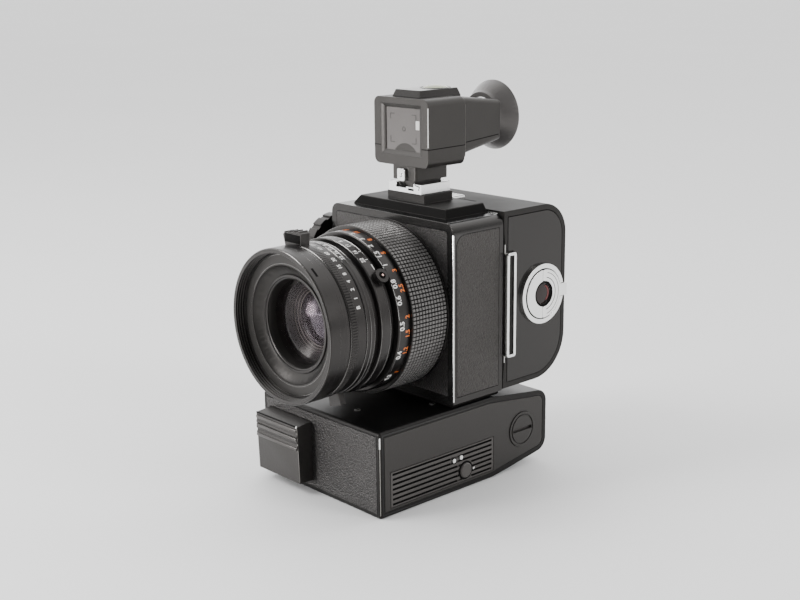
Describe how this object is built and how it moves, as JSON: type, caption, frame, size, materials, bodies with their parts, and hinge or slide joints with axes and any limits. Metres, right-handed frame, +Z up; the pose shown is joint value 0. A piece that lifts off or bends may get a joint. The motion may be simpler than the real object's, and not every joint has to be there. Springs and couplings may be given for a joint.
{
  "type": "medium format film camera",
  "caption": "Square-bodied film camera on an electric drive base, with a bright lens, a film magazine behind, a finder with an eyecup in the shoe and turning lens rings.",
  "frame": {"origin": "mouth of the tripod socket, in the middle of the drive base's underside", "axes": "+Z up, lens looking along -Y, +X the side with the film key, dark slide and battery door"},
  "size_m": [0.1049, 0.155, 0.2006],
  "materials": {
    "black_paint": "satin black paint on cast aluminium",
    "black_anodised": "black anodised, satin",
    "leatherette": "coarse black leatherette",
    "fine_grain": "fine-grained black covering",
    "black_plastic": "matte black",
    "grey_plastic": "satin dark grey",
    "steel": "brushed",
    "chrome": "satin chrome",
    "blade_steel": "blackened spring steel",
    "brass": "machined",
    "rubber": "moulded",
    "lens_glass": "coated",
    "window_glass": "clear",
    "cell_metal": "printed can, plain",
    "lamp": "clear lens",
    "level_glass": "bubble level"
  },
  "bodies": {
    "chassis": {"base_housing": "black_paint", "base_side_cover": "grey_plastic", "base_front_grain": "leatherette", "tripod_bush": "steel", "drive_motor": "cell_metal", "riser_plate": "black_paint", "body_shell": "black_paint", "body_front_grain": "leatherette", "side_panels": "fine_grain", "top_plate": "black_paint", "accessory_shoe": "chrome", "lens_flange": "black_anodised"},
    "release_plate": {"release_plate": "grey_plastic"},
    "coin_cap": {"coin_cap": "grey_plastic"},
    "battery_cassette": {"battery_door": "grey_plastic", "battery_tray": "black_plastic", "battery_cells": "cell_metal", "indicator_lamps": "lamp"},
    "battery_button": {"battery_button": "black_plastic"},
    "focus_ring": {"focus_ring": "black_anodised", "distance_scale": "black_anodised"},
    "lens_barrel": {"lens_barrel": "black_anodised", "depth_scale": "black_anodised", "sync_socket": "chrome", "front_bezel": "black_anodised", "name_ring": "black_anodised", "front_element": "lens_glass", "rear_cell": "black_anodised", "rear_element": "lens_glass", "iris_plate": "black_anodised"},
    "shutter_ring": {"shutter_ring": "black_anodised"},
    "aperture_ring": {"aperture_ring": "black_anodised", "iris_cam_ring": "brass"},
    "winding_knob": {"winding_knob": "black_anodised"},
    "magazine": {"magazine_shell": "black_paint", "magazine_panel": "fine_grain"},
    "magazine_catch": {"magazine_catch": "chrome"},
    "dark_slide": {"dark_slide": "steel", "dark_slide_handle": "chrome"},
    "film_insert": {"film_insert": "black_paint", "pressure_plate": "black_anodised"},
    "supply_spool": {"supply_spool": "black_plastic"},
    "take_up_spool": {"take_up_spool": "black_plastic"},
    "film_key": {"film_key": "chrome"},
    "key_bow": {"key_bow": "chrome"},
    "magazine_crank": {"magazine_crank": "chrome"},
    "finder": {"finder_foot": "black_plastic", "finder_lower_shell": "black_plastic", "finder_upper_shell": "black_plastic", "finder_window": "window_glass", "finder_cap": "black_plastic", "level_dome": "level_glass", "eyepiece_lens": "lens_glass", "eyecup": "rubber"},
    "finder_lock": {"finder_lock": "chrome"},
    "iris_blade_1": {"iris_blade_1": "blade_steel"},
    "iris_blade_2": {"iris_blade_2": "blade_steel"},
    "iris_blade_3": {"iris_blade_3": "blade_steel"},
    "iris_blade_4": {"iris_blade_4": "blade_steel"},
    "iris_blade_5": {"iris_blade_5": "blade_steel"}
  },
  "joints": [
    {"name": "release_press", "type": "slide", "parent": "chassis", "child": "release_plate", "axis": [0, 1, 0], "range_m": [0, 0.002], "stiffness_N_per_m": 500, "springref_m": -0.002},
    {"name": "coin_cap_turn", "type": "hinge", "parent": "chassis", "child": "coin_cap", "pos_m": [0.0465, 0.0403, 0.0215], "axis": [1, 0, 0], "range_deg": [0, 90]},
    {"name": "cassette_slide", "type": "slide", "parent": "chassis", "child": "battery_cassette", "axis": [1, 0, 0], "range_m": [0, 0.0645]},
    {"name": "battery_button_press", "type": "slide", "parent": "battery_cassette", "child": "battery_button", "axis": [-1, 0, 0], "range_m": [0, 0.001], "stiffness_N_per_m": 300, "springref_m": -0.001},
    {"name": "focus_turn", "type": "hinge", "parent": "chassis", "child": "focus_ring", "pos_m": [0, -0.026, 0.092], "axis": [0, -1, 0], "range_deg": [0, 150]},
    {"name": "focus_travel", "type": "slide", "parent": "chassis", "child": "lens_barrel", "axis": [0, -1, 0], "range_m": [0, 0.007]},
    {"name": "shutter_speed_turn", "type": "hinge", "parent": "lens_barrel", "child": "shutter_ring", "pos_m": [0, -0.0645, 0.092], "axis": [0, -1, 0], "range_deg": [-24, 96]},
    {"name": "aperture_turn", "type": "hinge", "parent": "lens_barrel", "child": "aperture_ring", "pos_m": [0, -0.0567, 0.092], "axis": [0, -1, 0], "range_deg": [0, 60]},
    {"name": "winding_turn", "type": "hinge", "parent": "chassis", "child": "winding_knob", "pos_m": [-0.046, -0.0025, 0.111], "axis": [1, 0, 0], "continuous": true},
    {"name": "magazine_tilt", "type": "hinge", "parent": "chassis", "child": "magazine", "pos_m": [0, 0.027, 0.0475], "axis": [-1, 0, 0], "range_deg": [0, 10]},
    {"name": "catch_slide", "type": "slide", "parent": "magazine", "child": "magazine_catch", "axis": [1, 0, 0], "range_m": [0, 0.005], "stiffness_N_per_m": 100, "springref_m": -0.005},
    {"name": "dark_slide_pull", "type": "slide", "parent": "magazine", "child": "dark_slide", "axis": [1, 0, 0], "range_m": [0, 0.08]},
    {"name": "insert_pull", "type": "slide", "parent": "magazine", "child": "film_insert", "axis": [1, 0, 0], "range_m": [0, 0.095]},
    {"name": "supply_spin", "type": "hinge", "parent": "film_insert", "child": "supply_spool", "pos_m": [0, 0.055, 0.069], "axis": [1, 0, 0], "continuous": true},
    {"name": "take_up_spin", "type": "hinge", "parent": "film_insert", "child": "take_up_spool", "pos_m": [0, 0.055, 0.117], "axis": [1, 0, 0], "continuous": true},
    {"name": "film_key_turn", "type": "hinge", "parent": "film_insert", "child": "film_key", "pos_m": [0.0465, 0.0537, 0.0932], "axis": [1, 0, 0], "range_deg": [0, 90]},
    {"name": "key_bow_fold", "type": "hinge", "parent": "film_key", "child": "key_bow", "pos_m": [0.0477, 0.0537, 0.0932], "axis": [0, 0, -1], "range_deg": [0, 90]},
    {"name": "crank_turn", "type": "hinge", "parent": "magazine", "child": "magazine_crank", "pos_m": [-0.048, 0.055, 0.117], "axis": [1, 0, 0], "continuous": true},
    {"name": "finder_off", "type": "slide", "parent": "chassis", "child": "finder", "axis": [0, 1, 0], "range_m": [0, 0.022]},
    {"name": "finder_lock_turn", "type": "hinge", "parent": "finder", "child": "finder_lock", "pos_m": [-0.0005, -0.0011, 0.1568], "axis": [0, -1, 0], "range_deg": [-40, 40]},
    {"name": "blade_1_swing", "type": "hinge", "parent": "lens_barrel", "child": "iris_blade_1", "pos_m": [0.014, -0.053, 0.092], "axis": [0, -1, 0], "range_deg": [0, 22.1]},
    {"name": "blade_2_swing", "type": "hinge", "parent": "lens_barrel", "child": "iris_blade_2", "pos_m": [0.00433, -0.053, 0.10532], "axis": [0, -1, 0], "range_deg": [0, 22.1]},
    {"name": "blade_3_swing", "type": "hinge", "parent": "lens_barrel", "child": "iris_blade_3", "pos_m": [-0.01133, -0.053, 0.10023], "axis": [0, -1, 0], "range_deg": [0, 22.1]},
    {"name": "blade_4_swing", "type": "hinge", "parent": "lens_barrel", "child": "iris_blade_4", "pos_m": [-0.01133, -0.053, 0.08377], "axis": [0, -1, 0], "range_deg": [0, 22.1]},
    {"name": "blade_5_swing", "type": "hinge", "parent": "lens_barrel", "child": "iris_blade_5", "pos_m": [0.00433, -0.053, 0.07869], "axis": [0, -1, 0], "range_deg": [0, 22.1]}
  ],
  "couplings": [
    {"joint": "focus_travel", "follows": "focus_turn", "m_per_rad": 0.0026738},
    {"joint": "take_up_spin", "follows": "crank_turn", "ratio": 1},
    {"joint": "blade_1_swing", "follows": "aperture_turn", "ratio": 0.36667},
    {"joint": "blade_2_swing", "follows": "aperture_turn", "ratio": 0.36667},
    {"joint": "blade_3_swing", "follows": "aperture_turn", "ratio": 0.36667},
    {"joint": "blade_4_swing", "follows": "aperture_turn", "ratio": 0.36667},
    {"joint": "blade_5_swing", "follows": "aperture_turn", "ratio": 0.36667}
  ]
}
